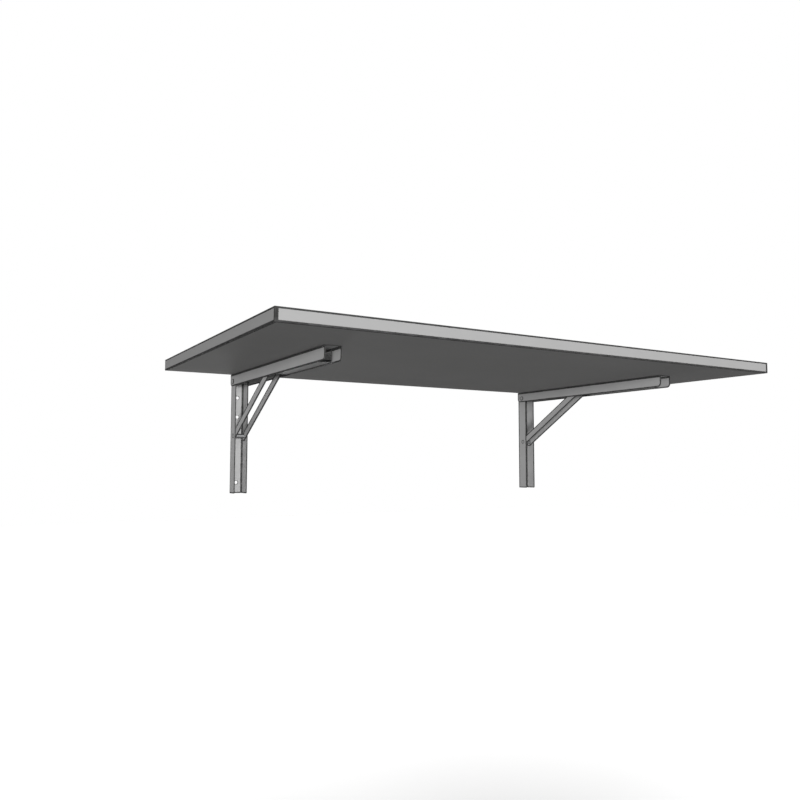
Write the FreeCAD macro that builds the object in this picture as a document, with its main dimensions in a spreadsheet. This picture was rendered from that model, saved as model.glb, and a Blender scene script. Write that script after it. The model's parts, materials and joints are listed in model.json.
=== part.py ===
import FreeCAD, Part
import os
import Sketcher

# Wall mounted drop leaf table: a faced board on two folding steel brackets.
# Millimetres. X runs along the wall, Y = 0 is the wall and the room is at -Y, Z is up.
# The origin is on the wall, at the centre of the four outer wall screw holes.

SIZES = {
    # tabletop
    "top_length": 800,        # along the wall
    "top_depth": 450,         # away from the wall
    "top_thickness": 16,
    "wall_gap": 1,            # between the board and the wall
    "band_thickness": 2,      # edge band
    "band_round": 0.8,        # rounded outer edges of the band
    "seat_height": 102,       # underside of the board above the origin
    # brackets
    "bracket_pitch": 576,     # centre to centre
    "sheet": 1,             # steel sheet of leg, arm and slide
    "bend": 1.5,              # outside radius of a bend in the sheet
    "side_play": 0.15,        # between parts that slide or turn past each other
    "pin_play": 0.05,         # radial clearance of a pin in its hole
    "run_out": 1,             # cuts begin and end this far outside the metal
    # arm
    "arm_reach": 350,         # from the wall to the arm's front end
    "arm_gap": 0.5,           # between the arm's rear end and the wall
    "arm_width": 22.4,
    "arm_height": 18.4,
    "arm_corner": 6,          # rounded lower corners
    "lip_width": 1.1,         # inturned lips that carry the slide
    "lip_start": 178,         # from the arm pivot
    # leg
    "leg_drop": 184.5,        # underside of the board to the leg's foot
    "leg_depth": 22.8,
    "leg_corner": 2,
    "wall_hole": 5,
    "wall_hole_rise": 66,     # outer wall holes above and below the origin
    "wall_hole_middle": 36,   # third hole above the origin
    # pivots
    "pivot_depth": 13,        # both pivots from the wall
    "arm_pivot_drop": 11.5,   # below the board
    "strut_pivot_drop": 96,   # below the board
    "rivet": 5,
    "rivet_head": 8,
    "rivet_head_height": 1.6,
    "dome_flat": 0.55,        # flat top of a domed head, as a share of its radius
    "dome_shoulder": 0.9,     # shoulder of the dome, likewise
    "dome_rise": 0.55,        # height of the shoulder, as a share of the head height
    "flush_head": 7.4,        # countersunk head of the strut rivet
    "flush_depth": 0.8,
    # strut
    "bar_width": 12.3,
    "bar_thickness": 1.5,
    "bar_tail": 9,            # past the lower pivot
    "strut_reach": 145.5,     # arm pivot to strut top pin when the board is up
    "spacer": 7,
    # slide
    "slide_lift": 0.1,        # slide above its lips
    "slide_top_play": 0.4,    # under the arm's web
    "slide_tail": 8,          # walls behind the strut pin
    "slide_clear": 24,        # floor starts this far ahead of the strut pin
    "slide_inset": 25,        # slide's front end short of the arm's
    "slide_low_round": 4,
    "slide_high_round": 7,
    "thumb_notch": 6.5,       # radius of the notch in the slide's floor
    # latch
    "latch_pin": 3,
    "latch_pin_inset": 24,    # behind the slide's front end
    "latch_pin_drop": 9,      # below the board
    "latch_play": 0.6,        # latch to slide wall
    "latch_tail": 24,         # behind its pin
    "latch_nose": 3,          # in front of the slide's end
    "latch_low": 14.8,        # underside of the thumb pad below the board
    "latch_high": 6.8,        # top of the thumb pad below the board
    "latch_beam": 2.6,        # half height of the beam at the pin
    "latch_slope": 6,         # length over which the beam thickens into the pad
    "tooth_length": 4.5,
    "tooth_width": 7,
    "tooth_gap": 0.3,         # tooth below the arm's web
    "tooth_lead": 1,          # lead-in at the tooth's rear
    "tooth_fall": 2,
    "window_play": 0.6,       # catch window round the tooth
    "grip_groove": 0.5,       # depth of the grip lines on the pad
    "grip_pitch": 2.2,
    "grip_width": 0.9,
    "grip_first": 0.5,        # above the pad's underside
    "grip_margin": 1,         # short of the pad's sides
    # latch spring
    "spring_wire": 0.6,
    "spring_mean": 4.4,
    "spring_turns": 4,
    "spring_inset": 10,       # behind the latch pin
    "spring_seat": 0.02,      # above the floor and under the lever
    # arm screws
    "screw": 4,
    "screw_core": 3,          # length of the point
    "screw_grip": 12.5,       # into the board
    "screw_head": 7,
    "screw_head_height": 1.9,
    "screw_rim_height": 0.5,
    "screw_crown": 0.6,       # height of the rounding over the rim
    "screw_rim": 0.95,        # radius where the rounding starts, as a share of the head
    "screw_face": 0.7,        # flat face, likewise
    "screw_slot": 0.9,
    "screw_slot_depth": 1.1,
    "screw_slot_length": 4,
    "screw_first": 35,        # from the wall
    "screw_pitch": 78,
    "screw_play": 0.25,
    "pilot_extra": 0.3,       # pilot hole past the screw's point
}
SCREW_COUNT = 4
GRIP_COUNT = 3
SIDES = {"left": "-Size.bracket_pitch / 2", "right": "Size.bracket_pitch / 2"}

doc = FreeCAD.newDocument("WallDropLeafTable")
sizes = doc.addObject("Spreadsheet::Sheet", "Size")
for row, (name, value) in enumerate(SIZES.items(), start=1):
    sizes.set(f"A{row}", str(value))
    sizes.setAlias(f"A{row}", name)
doc.recompute()

# Heights and places that several pieces share, as expressions on the sheet.
UNDERSIDE = "Size.seat_height"
ARM_PIVOT_Z = "(Size.seat_height - Size.arm_pivot_drop)"
STRUT_PIVOT_Z = "(Size.seat_height - Size.strut_pivot_drop)"
PIVOT_SPAN = "(Size.strut_pivot_drop - Size.arm_pivot_drop)"
STRUT_LENGTH = f"sqrt(Size.strut_reach ^ 2 + {PIVOT_SPAN} ^ 2)"
STRUT_ANGLE = f"atan({PIVOT_SPAN} / Size.strut_reach)"
ARM_FRONT_Y = "(-Size.arm_reach)"
ARM_FOOT_Z = "(Size.seat_height - Size.arm_height)"
ARM_HALF = "(Size.arm_width / 2)"
ARM_INNER = f"({ARM_HALF} - Size.sheet)"
LEG_HALF = f"({ARM_INNER} - Size.side_play)"
LEG_INNER = f"({LEG_HALF} - Size.sheet)"
BAR_OUTER = f"({LEG_INNER} - Size.side_play)"
BAR_INNER = f"({BAR_OUTER} - Size.bar_thickness)"
PIN_Y = "(-Size.pivot_depth - Size.strut_reach)"
SLIDE_HALF = f"({ARM_INNER} - Size.side_play)"
SLIDE_INNER = f"({SLIDE_HALF} - Size.sheet)"
SLIDE_FLOOR_Z = f"({ARM_FOOT_Z} + Size.sheet + Size.slide_lift)"
SLIDE_TOP_Z = "(Size.seat_height - Size.sheet - Size.slide_top_play)"
SLIDE_FRONT_Y = f"({ARM_FRONT_Y} + Size.slide_inset)"
SLIDE_REAR_Y = f"({PIN_Y} + Size.slide_tail)"
LATCH_PIN_Y = f"({SLIDE_FRONT_Y} + Size.latch_pin_inset)"
LATCH_PIN_Z = "(Size.seat_height - Size.latch_pin_drop)"
LATCH_HALF = f"({SLIDE_INNER} - Size.latch_play)"
TOOTH_Y = f"({LATCH_PIN_Y} + Size.latch_tail - Size.tooth_length)"
SPRING_Y = f"({LATCH_PIN_Y} + Size.spring_inset)"
SPRING_FLOOR_Z = f"({SLIDE_FLOOR_Z} + Size.sheet)"
RIVET_HOLE = "(Size.rivet / 2 + Size.pin_play)"
LATCH_HOLE = "(Size.latch_pin / 2 + Size.pin_play)"
THROUGH_SHEET = ("Size.sheet + Size.run_out", "Size.sheet + 2 * Size.run_out")


def number(expression):
    """The present value of an expression on the sheet."""
    value = sizes.evalExpression(str(expression))
    return float(getattr(value, "Value", value))


def new_body(label, along="0"):
    """A body in the table's own frame, moved along X."""
    body = doc.addObject("PartDesign::Body", label)
    body.Label = label
    body.setExpression("Placement.Base.x", along)
    return body


def origin_feature(body, role):
    """One of the body's own origin planes or axes."""
    return next(item for item in body.Origin.OriginFeatures if item.Role == role)


def new_sketch(body, name, role, start="0"):
    """A sketch on one of the body's origin planes, lifted by start along its normal."""
    sketch = body.newObject("Sketcher::SketchObject", f"{body.Name}_{name}_sketch")
    sketch.AttachmentSupport = [(origin_feature(body, role), "")]
    sketch.MapMode = "FlatFace"
    sketch.setExpression("AttachmentOffset.Base.z", str(start))
    return sketch


def dimension(sketch, kind, expression, *where):
    """A driving dimension bound to the sheet."""
    index = sketch.addConstraint(Sketcher.Constraint(kind, *where, number(expression)))
    sketch.setExpression(f"Constraints[{index}]", str(expression))


def draw_outline(sketch, corners):
    """A closed outline of straight lines through the corners."""
    points = [FreeCAD.Vector(number(across), number(up), 0) for across, up in corners]
    count = len(points)
    base = sketch.GeometryCount
    for index, point in enumerate(points):
        sketch.addGeometry(Part.LineSegment(point, points[(index + 1) % count]), False)
    for index, (across, up) in enumerate(corners):
        following = base + (index + 1) % count
        sketch.addConstraint(Sketcher.Constraint("Coincident", base + index, 2, following, 1))
        dimension(sketch, "DistanceX", across, -1, 1, base + index, 1)
        dimension(sketch, "DistanceY", up, -1, 1, base + index, 1)


def draw_box(sketch, left, right, bottom, top):
    draw_outline(sketch, [(left, bottom), (right, bottom), (right, top), (left, top)])


def draw_circle(sketch, across, up, radius):
    centre = FreeCAD.Vector(number(across), number(up), 0)
    index = sketch.addGeometry(Part.Circle(centre, FreeCAD.Vector(0, 0, 1), number(radius)), False)
    dimension(sketch, "DistanceX", across, -1, 1, index, 3)
    dimension(sketch, "DistanceY", up, -1, 1, index, 3)
    dimension(sketch, "Radius", radius, index)


def add(body, name, role, start, length, draw, *shape):
    """Pad a drawn shape from start along the plane's normal."""
    sketch = new_sketch(body, name, role, start)
    draw(sketch, *shape)
    pad = body.newObject("PartDesign::Pad", f"{body.Name}_{name}")
    pad.Profile = sketch
    pad.setExpression("Length", str(length))
    doc.recompute()
    return pad


def cut(body, name, role, start, depth, draw, *shapes):
    """Pocket drawn shapes from start back against the plane's normal."""
    before = body.Tip.Shape.Volume
    sketch = new_sketch(body, name, role, start)
    for shape in shapes:
        draw(sketch, *shape)
    pocket = body.newObject("PartDesign::Pocket", f"{body.Name}_{name}")
    pocket.Profile = sketch
    pocket.setExpression("Length", str(depth))
    doc.recompute()
    if not pocket.Shape.Volume < before - 1e-6:
        raise ValueError(f"{pocket.Name} cuts nothing")
    return pocket


def right_through(half):
    """Start and depth of a cut that runs right across a part of this half width."""
    return f"{half} + Size.run_out", f"2 * {half} + 2 * Size.run_out"


def turn(body, name, role, outline):
    """Revolve a half outline about the sketch's upright axis."""
    sketch = new_sketch(body, name, role)
    draw_outline(sketch, outline)
    feature = body.newObject("PartDesign::Revolution", f"{body.Name}_{name}")
    feature.Profile = sketch
    feature.ReferenceAxis = (sketch, ["V_Axis"])
    feature.Angle = 360
    doc.recompute()
    return feature


def round_off(body, name, radius, wanted):
    """Fillet the straight edges of the tip that wanted(start, end) picks."""
    base = body.Tip
    names = []
    for index, edge in enumerate(base.Shape.Edges, start=1):
        if len(edge.Vertexes) != 2:
            continue
        start, end = edge.Vertexes[0].Point, edge.Vertexes[1].Point
        if wanted(start, end):
            names.append(f"Edge{index}")
    fillet = body.newObject("PartDesign::Fillet", f"{body.Name}_{name}")
    fillet.Base = (base, names)
    fillet.setExpression("Radius", str(radius))
    doc.recompute()
    return fillet


def along(axis, start, end):
    """Whether an edge runs along one axis."""
    step = end - start
    others = [abs(getattr(step, other)) for other in "xyz" if other != axis]
    return abs(getattr(step, axis)) > 0.5 and max(others) < 1e-4


def near(value, expression):
    return abs(value - number(expression)) < 1e-3


def make_tabletop():
    """A faced board core with an edge band on each side."""
    half = "(Size.top_length / 2)"
    rear = "(-Size.wall_gap)"
    front = "(-Size.wall_gap - Size.top_depth)"
    band = "Size.band_thickness"
    thick = "Size.top_thickness"
    core = new_body("tabletop_core")
    add(core, "board", "XY_Plane", UNDERSIDE, thick, draw_box,
        f"-{half} + {band}", f"{half} - {band}", f"{front} + {band}", f"{rear} - {band}")
    pilots = []
    for place in SIDES.values():
        for index in range(SCREW_COUNT):
            out = f"-(Size.screw_first + {index} * Size.screw_pitch)"
            pilots.append((place, out, "(Size.screw / 2 + Size.pin_play)"))
    depth = "(Size.screw_grip + Size.pilot_extra)"
    cut(core, "pilots", "XY_Plane", f"{UNDERSIDE} + {depth}", depth, draw_circle, *pilots)
    strips = {
        "edge_band_front": (f"-{half} + {band}", f"{half} - {band}", front, f"{front} + {band}"),
        "edge_band_rear": (f"-{half} + {band}", f"{half} - {band}", f"{rear} - {band}", rear),
        "edge_band_left": (f"-{half}", f"-{half} + {band}", front, rear),
        "edge_band_right": (f"{half} - {band}", half, front, rear),
    }
    for label, (left, right, bottom, top) in strips.items():
        strip = new_body(label)
        add(strip, "strip", "XY_Plane", UNDERSIDE, thick, draw_box, left, right, bottom, top)
        if label in ("edge_band_front", "edge_band_rear"):
            outer = front if label == "edge_band_front" else rear
            round_off(strip, "rounding", "Size.band_round",
                      lambda a, b: along("x", a, b) and near(a.y, outer))
        else:
            outer = f"-{half}" if label == "edge_band_left" else half
            round_off(strip, "rounding", "Size.band_round",
                      lambda a, b: along("y", a, b) and near(a.x, outer))


def make_leg(side, place):
    """Upright U of sheet steel, its web on the wall and its flanges towards the room."""
    leg = new_body(f"wall_channel_{side}", place)
    crown = "(Size.leg_depth - Size.pivot_depth)"
    top = f"({ARM_PIVOT_Z} + {crown})"
    foot = f"({UNDERSIDE} - Size.leg_drop)"
    front = "(-Size.leg_depth)"
    add(leg, "blank", "YZ_Plane", f"-{LEG_HALF}", f"2 * {LEG_HALF}", draw_box, front, "0", foot, top)
    round_off(leg, "crown", crown,
              lambda a, b: along("x", a, b) and near(a.y, front) and near(a.z, top))
    round_off(leg, "toe", "Size.leg_corner",
              lambda a, b: along("x", a, b) and near(a.y, front) and near(a.z, foot))
    round_off(leg, "bends", "Size.bend", lambda a, b: along("z", a, b) and near(a.y, "0"))
    cut(leg, "channel", "XY_Plane", f"{top} + Size.run_out", f"{top} - {foot} + 2 * Size.run_out",
        draw_box, (f"-{LEG_INNER}", LEG_INNER, f"{front} - Size.run_out", "-Size.sheet"))
    heights = ("Size.wall_hole_rise", "Size.wall_hole_middle", "-Size.wall_hole_rise")
    cut(leg, "wall_holes", "XZ_Plane", *THROUGH_SHEET, draw_circle,
        *[("0", height, "Size.wall_hole / 2") for height in heights])
    cut(leg, "pivots", "YZ_Plane", *right_through(LEG_HALF), draw_circle,
        ("-Size.pivot_depth", ARM_PIVOT_Z, RIVET_HOLE),
        ("-Size.pivot_depth", STRUT_PIVOT_Z, RIVET_HOLE))
    countersink(leg)


def countersink(leg):
    """Conical seats in both flanges for the flush heads of the strut rivet."""
    small = "Size.rivet / 2 + Size.pin_play"
    large = "Size.flush_head / 2 + Size.pin_play"
    ends = ((f"-{LEG_HALF}", large, small), (f"{LEG_HALF} - Size.flush_depth", small, large))
    for start, first, last in ends:
        before = leg.Tip.Shape.Volume
        seat = leg.newObject("PartDesign::SubtractiveCone", f"{leg.Name}_seat")
        seat.AttachmentSupport = [(origin_feature(leg, "YZ_Plane"), "")]
        seat.MapMode = "FlatFace"
        seat.setExpression("AttachmentOffset.Base.x", "-Size.pivot_depth")
        seat.setExpression("AttachmentOffset.Base.y", STRUT_PIVOT_Z)
        seat.setExpression("AttachmentOffset.Base.z", start)
        seat.setExpression("Radius1", first)
        seat.setExpression("Radius2", last)
        seat.setExpression("Height", "Size.flush_depth")
        doc.recompute()
        if not seat.Shape.Volume < before - 1e-6:
            raise ValueError(f"{seat.Name} cuts nothing")


def make_arm(side, place):
    """U of sheet steel open downwards, its web screwed to the board."""
    arm = new_body(f"arm_{side}", place)
    rear = "(-Size.arm_gap)"
    add(arm, "blank", "YZ_Plane", f"-{ARM_HALF}", "Size.arm_width", draw_box,
        ARM_FRONT_Y, rear, ARM_FOOT_Z, UNDERSIDE)
    round_off(arm, "corners", "Size.arm_corner",
              lambda a, b: along("x", a, b) and near(a.z, ARM_FOOT_Z))
    round_off(arm, "bends", "Size.bend", lambda a, b: along("y", a, b) and near(a.z, UNDERSIDE))
    cut(arm, "channel", "XZ_Plane", "Size.arm_reach + Size.run_out",
        "Size.arm_reach + 2 * Size.run_out", draw_box,
        (f"-{ARM_INNER}", ARM_INNER, f"{ARM_FOOT_Z} - Size.run_out", f"{UNDERSIDE} - Size.sheet"))
    through_web = (f"{UNDERSIDE} + Size.run_out", "Size.sheet + 2 * Size.run_out")
    lip_rear = "(-Size.pivot_depth - Size.lip_start)"
    for name, sign in (("lip_left", "-"), ("lip_right", "")):
        inner = f"{sign}({ARM_INNER} - Size.lip_width)"
        outer = f"{sign}({ARM_INNER} + Size.sheet / 2)"
        add(arm, name, "XY_Plane", ARM_FOOT_Z, "Size.sheet", draw_box,
            inner, outer, SLIDE_FRONT_Y, lip_rear)
    cut(arm, "pivot", "YZ_Plane", *right_through(ARM_HALF), draw_circle,
        ("-Size.pivot_depth", ARM_PIVOT_Z, RIVET_HOLE))
    cut(arm, "screw_holes", "XY_Plane", *through_web, draw_circle,
        *[("0", f"-(Size.screw_first + {index} * Size.screw_pitch)",
           "(Size.screw / 2 + Size.screw_play)") for index in range(SCREW_COUNT)])
    cut(arm, "window", "XY_Plane", *through_web, draw_box,
        ("-(Size.tooth_width / 2 + Size.window_play)", "Size.tooth_width / 2 + Size.window_play",
         f"{TOOTH_Y} - Size.window_play", f"{TOOTH_Y} + Size.tooth_length + Size.window_play"))


def make_rivets(side, place):
    """Domed rivet at the arm pivot and flush rivet at the strut's foot."""
    shank = "Size.rivet / 2"
    head = "Size.rivet_head / 2"
    seat = f"({ARM_HALF} + Size.pin_play)"
    crown = f"({seat} + Size.rivet_head_height)"
    shoulder = f"({seat} + Size.rivet_head_height * Size.dome_rise)"
    flat, broad = f"{head} * Size.dome_flat", f"{head} * Size.dome_shoulder"
    arm_rivet = new_body(f"arm_pivot_rivet_{side}", place)
    lay_pin(arm_rivet, "Size.pivot_depth", ARM_PIVOT_Z)
    turn(arm_rivet, "shape", "XZ_Plane", [
        ("0", f"-{crown}"), (flat, f"-{crown}"), (broad, f"-{shoulder}"), (head, f"-{seat}"),
        (shank, f"-{seat}"), (shank, seat), (head, seat), (broad, shoulder), (flat, crown),
        ("0", crown)])
    under = f"({LEG_HALF} - Size.flush_depth)"
    large = "Size.flush_head / 2"
    strut_rivet = new_body(f"strut_pivot_rivet_{side}", place)
    lay_pin(strut_rivet, "Size.pivot_depth", STRUT_PIVOT_Z)
    turn(strut_rivet, "shape", "XZ_Plane", [
        ("0", f"-{LEG_HALF}"), (large, f"-{LEG_HALF}"), (shank, f"-{under}"),
        (shank, under), (large, LEG_HALF), ("0", LEG_HALF)])


def lay_pin(body, depth, height):
    """Turn a body made upright so that its Z axis lies along X through a pivot."""
    body.Placement.Rotation = FreeCAD.Rotation(FreeCAD.Vector(0, 1, 0), 90)
    body.setExpression("Placement.Base.y", f"-({depth})")
    body.setExpression("Placement.Base.z", height)


def make_strut(side, place):
    """Two flat bars on a spacer, hinged in the leg and pinned to the slide."""
    half = "(Size.bar_width / 2)"
    tail = f"(Size.bar_tail - {half})"
    thick = "Size.bar_thickness"
    faces = {"outer": f"-{BAR_OUTER}", "inner": BAR_INNER}
    if side == "right":
        faces = {"outer": BAR_INNER, "inner": f"-{BAR_OUTER}"}
    for hand, face in faces.items():
        bar = new_body(f"strut_bar_{side}_{hand}", place)
        add(bar, "middle", "YZ_Plane", face, thick, draw_box,
            f"-{STRUT_LENGTH}", tail, f"-{half}", half)
        add(bar, "foot", "YZ_Plane", face, thick, draw_circle, tail, "0", half)
        add(bar, "head", "YZ_Plane", face, thick, draw_circle, f"-{STRUT_LENGTH}", "0", half)
        cut(bar, "holes", "YZ_Plane", f"{face} + {thick} + Size.run_out",
            f"{thick} + 2 * Size.run_out", draw_circle,
            ("0", "0", RIVET_HOLE), (f"-{STRUT_LENGTH}", "0", RIVET_HOLE))
        bar.Placement.Rotation = FreeCAD.Rotation(FreeCAD.Vector(-1, 0, 0), number(STRUT_ANGLE))
        bar.setExpression("Placement.Rotation.Angle", STRUT_ANGLE)
        bar.setExpression("Placement.Base.y", "-Size.pivot_depth")
        bar.setExpression("Placement.Base.z", STRUT_PIVOT_Z)
    spacer = new_body(f"strut_spacer_{side}", place)
    lay_pin(spacer, "Size.pivot_depth", STRUT_PIVOT_Z)
    add(spacer, "tube", "XY_Plane", f"-{BAR_INNER}", f"2 * {BAR_INNER}", draw_circle,
        "0", "0", "Size.spacer / 2")
    cut(spacer, "bore", "XY_Plane", *right_through(BAR_INNER), draw_circle,
        ("0", "0", RIVET_HOLE))
    pin = new_body(f"strut_top_pin_{side}", place)
    lay_pin(pin, "Size.pivot_depth + Size.strut_reach", ARM_PIVOT_Z)
    add(pin, "shank", "XY_Plane", f"-{BAR_OUTER}", f"2 * {BAR_OUTER}", draw_circle,
        "0", "0", "Size.rivet / 2")


def make_slide(side, place):
    """U of sheet steel open upwards, carried on the arm's lips."""
    slide = new_body(f"slide_channel_{side}", place)
    add(slide, "blank", "YZ_Plane", f"-{SLIDE_HALF}", f"2 * {SLIDE_HALF}", draw_box,
        SLIDE_FRONT_Y, SLIDE_REAR_Y, SLIDE_FLOOR_Z, SLIDE_TOP_Z)
    round_off(slide, "low", "Size.slide_low_round", lambda a, b: along("x", a, b)
              and near(a.y, SLIDE_REAR_Y) and near(a.z, SLIDE_FLOOR_Z))
    round_off(slide, "high", "Size.slide_high_round", lambda a, b: along("x", a, b)
              and near(a.y, SLIDE_REAR_Y) and near(a.z, SLIDE_TOP_Z))
    cut(slide, "channel", "XZ_Plane", f"Size.run_out - {SLIDE_FRONT_Y}",
        f"{SLIDE_REAR_Y} - {SLIDE_FRONT_Y} + 2 * Size.run_out", draw_box,
        (f"-{SLIDE_INNER}", SLIDE_INNER, SPRING_FLOOR_Z, f"{SLIDE_TOP_Z} + Size.run_out"))
    through_floor = (f"{SPRING_FLOOR_Z} + Size.run_out", "Size.sheet + 2 * Size.run_out")
    cut(slide, "clearance", "XY_Plane", *through_floor, draw_box,
        (f"-{SLIDE_INNER}", SLIDE_INNER, f"{PIN_Y} - Size.slide_clear",
         f"{SLIDE_REAR_Y} + Size.run_out"))
    cut(slide, "thumb_notch", "XY_Plane", *through_floor, draw_circle,
        ("0", SLIDE_FRONT_Y, "Size.thumb_notch"))
    cut(slide, "pin_holes", "YZ_Plane", *right_through(SLIDE_HALF), draw_circle,
        (PIN_Y, ARM_PIVOT_Z, RIVET_HOLE), (LATCH_PIN_Y, LATCH_PIN_Z, LATCH_HOLE))


def make_latch(side, place):
    """Sprung lever in the slide's front end, with a tooth under the catch window."""
    latch = new_body(f"release_latch_{side}", place)
    nose = f"({SLIDE_FRONT_Y} - Size.latch_nose)"
    tail = f"({LATCH_PIN_Y} + Size.latch_tail)"
    pad_low = f"({UNDERSIDE} - Size.latch_low)"
    pad_high = f"({UNDERSIDE} - Size.latch_high)"
    beam_low = f"({LATCH_PIN_Z} - Size.latch_beam)"
    beam_high = f"({LATCH_PIN_Z} + Size.latch_beam)"
    throat = f"({LATCH_PIN_Y} - Size.latch_beam * 2)"
    add(latch, "lever", "YZ_Plane", f"-{LATCH_HALF}", f"2 * {LATCH_HALF}", draw_outline, [
        (nose, pad_low), (f"{throat} - Size.latch_slope", pad_low), (throat, beam_low),
        (tail, beam_low),
        (tail, beam_high), (throat, beam_high), (nose, pad_high)])
    tooth_top = f"({UNDERSIDE} - Size.sheet - Size.tooth_gap)"
    add(latch, "tooth", "YZ_Plane", "-Size.tooth_width / 2", "Size.tooth_width", draw_outline, [
        (TOOTH_Y, LATCH_PIN_Z), (tail, LATCH_PIN_Z), (tail, f"{tooth_top} - Size.tooth_fall"),
        (f"{tail} - Size.tooth_lead", tooth_top), (TOOTH_Y, tooth_top)])
    cut(latch, "bore", "YZ_Plane", *right_through(LATCH_HALF), draw_circle,
        (LATCH_PIN_Y, LATCH_PIN_Z, LATCH_HOLE))
    lines = []
    for index in range(GRIP_COUNT):
        low = f"({pad_low} + Size.grip_first + {index} * Size.grip_pitch)"
        lines.append((f"Size.grip_margin - {LATCH_HALF}", f"{LATCH_HALF} - Size.grip_margin",
                      low, f"{low} + Size.grip_width"))
    cut(latch, "grip", "XZ_Plane", f"Size.run_out - {nose}", "Size.grip_groove + Size.run_out",
        draw_box, *lines)
    pin = new_body(f"latch_pin_{side}", place)
    lay_pin(pin, f"-{LATCH_PIN_Y}", LATCH_PIN_Z)
    add(pin, "shank", "XY_Plane", f"-{SLIDE_HALF}", f"2 * {SLIDE_HALF}", draw_circle,
        "0", "0", "Size.latch_pin / 2")


def make_spring(side, place):
    """Compression spring between the slide's floor and the latch's tail."""
    spring = new_body(f"latch_spring_{side}", place)
    low = "(Size.spring_wire / 2 + Size.spring_seat)"
    spring.setExpression("Placement.Base.y", SPRING_Y)
    spring.setExpression("Placement.Base.z", f"{SPRING_FLOOR_Z} + {low}")
    room = f"({LATCH_PIN_Z} - Size.latch_beam - {SPRING_FLOOR_Z} - 2 * {low})"
    sketch = new_sketch(spring, "wire", "XZ_Plane")
    draw_circle(sketch, "Size.spring_mean / 2", "0", "Size.spring_wire / 2")
    coil = spring.newObject("PartDesign::AdditiveHelix", f"{spring.Name}_coil")
    coil.Profile = sketch
    coil.ReferenceAxis = (sketch, ["V_Axis"])
    coil.Mode = "pitch-height-angle"
    coil.setExpression("Height", room)
    coil.setExpression("Pitch", f"{room} / Size.spring_turns")
    doc.recompute()


def make_screws(side, place):
    """Four pan head screws through the arm's web into the board."""
    screws = new_body(f"arm_screws_{side}", place)
    screws.AllowCompound = True
    screws.setExpression("Placement.Base.y", "-Size.screw_first")
    screws.setExpression("Placement.Base.z", UNDERSIDE)
    shank = "Size.screw / 2"
    head = "Size.screw_head / 2"
    seat = "(-Size.sheet)"
    face = f"({seat} - Size.screw_head_height)"
    turned = turn(screws, "shape", "XZ_Plane", [
        ("0", face), (f"{head} * Size.screw_face", face),
        (f"{head} * Size.screw_rim", f"{face} + Size.screw_crown"),
        (head, f"{seat} - Size.screw_rim_height"), (head, seat), (shank, seat),
        (shank, "Size.screw_grip - Size.screw_core"), ("0", "Size.screw_grip")])
    sketch = new_sketch(screws, "recess", "XY_Plane", face)
    half, reach = "(Size.screw_slot / 2)", "(Size.screw_slot_length / 2)"
    draw_outline(sketch, [
        (half, half), (reach, half), (reach, f"-{half}"), (half, f"-{half}"),
        (half, f"-{reach}"), (f"-{half}", f"-{reach}"), (f"-{half}", f"-{half}"),
        (f"-{reach}", f"-{half}"), (f"-{reach}", half), (f"-{half}", half),
        (f"-{half}", reach), (half, reach)])
    recess = screws.newObject("PartDesign::Pocket", f"{screws.Name}_recess")
    recess.Profile = sketch
    recess.Reversed = True
    recess.setExpression("Length", "Size.screw_slot_depth")
    doc.recompute()
    if not recess.Shape.Volume < turned.Shape.Volume - 1e-6:
        raise ValueError(f"{recess.Name} cuts nothing")
    row = screws.newObject("PartDesign::LinearPattern", f"{screws.Name}_row")
    row.Originals = [turned, recess]
    row.Direction = (origin_feature(screws, "Y_Axis"), [""])
    row.Reversed = True
    row.Occurrences = SCREW_COUNT
    row.setExpression("Length", f"Size.screw_pitch * {SCREW_COUNT - 1}")
    screws.Tip = row
    doc.recompute()


make_tabletop()
for side, place in SIDES.items():
    make_leg(side, place)
    make_arm(side, place)
    make_rivets(side, place)
    make_strut(side, place)
    make_slide(side, place)
    make_latch(side, place)
    make_spring(side, place)
    make_screws(side, place)
doc.recompute()

for item in doc.Objects:
    if "Invalid" in item.State or "Error" in item.State:
        raise ValueError(f"{item.Name} failed: {item.State}")
bodies = [item for item in doc.Objects if item.TypeId == "PartDesign::Body"]
for body in bodies:
    if body.Shape.isNull() or not body.Shape.isValid() or not body.Shape.Solids:
        raise ValueError(f"{body.Label} has no valid solid")
os.makedirs("parts", exist_ok=True)
for body in bodies:
    body.Shape.exportStep(f"parts/{body.Label}.step")
    box = body.Shape.BoundBox
    print(f"{body.Label:28s} solids {len(body.Shape.Solids)} volume {body.Shape.Volume:10.1f}"
          f"  x {box.XMin:8.2f} {box.XMax:8.2f}  y {box.YMin:8.2f} {box.YMax:8.2f}"
          f"  z {box.ZMin:8.2f} {box.ZMax:8.2f}")
print(len(bodies), "nodes")
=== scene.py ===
# %% [markdown]
# # A wall table that folds down
#
# A faced board rests on two steel brackets. Each bracket is a leg on the wall, an arm under
# the board, and a strut whose upper end runs along the arm when the table folds. The CAD
# model fixes every size and every joint, and this lesson gives it the looks: rounded sheet
# metal, seams, rivets and finishes.

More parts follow.
